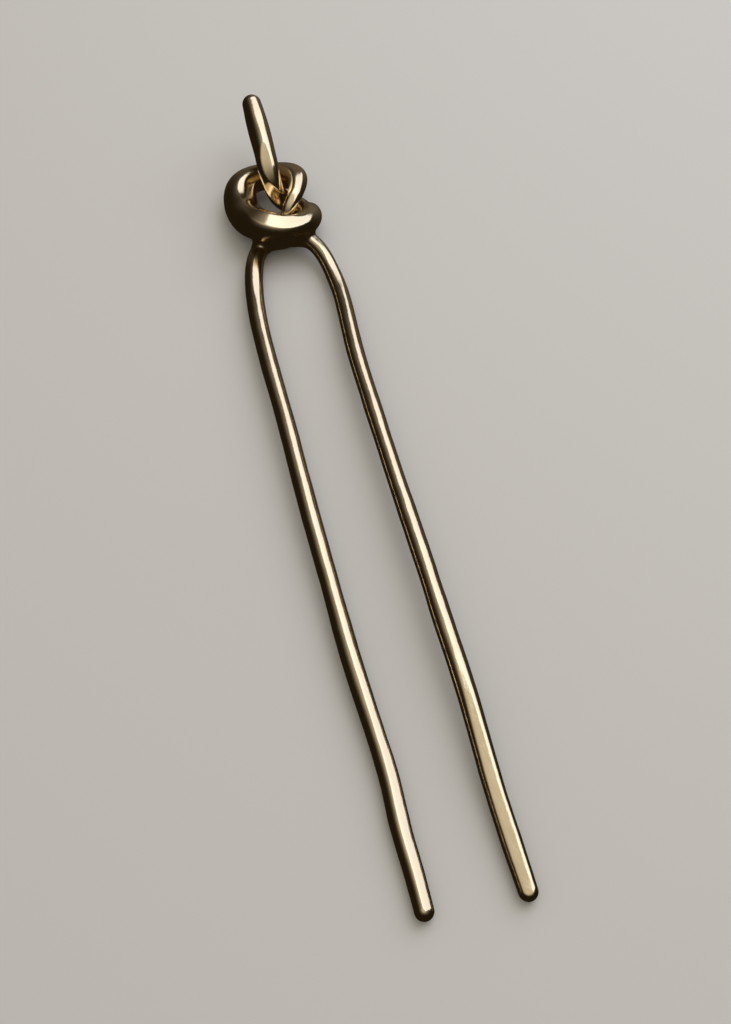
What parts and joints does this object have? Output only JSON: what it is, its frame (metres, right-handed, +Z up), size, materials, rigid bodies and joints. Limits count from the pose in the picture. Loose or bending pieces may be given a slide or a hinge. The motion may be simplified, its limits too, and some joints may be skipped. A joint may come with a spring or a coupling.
{
  "type": "hairpin",
  "caption": "Metal hairpin with two gently waved round prongs, a low arch between them and a thick rod tied in an overhand knot on the arch, its free end standing on as a straight post.",
  "frame": {"origin": "middle of the footprint, on the surface that the pin lies on", "axes": "+Y along the pin from the prong tips to the post, +X across the prongs, +Z up from the surface"},
  "size_m": [0.0165, 0.1359, 0.0111],
  "materials": {
    "metal": "pale champagne gold, smooth and softly polished by hand"
  },
  "bodies": {
    "root": {"hairpin": "metal"}
  },
  "joints": []
}
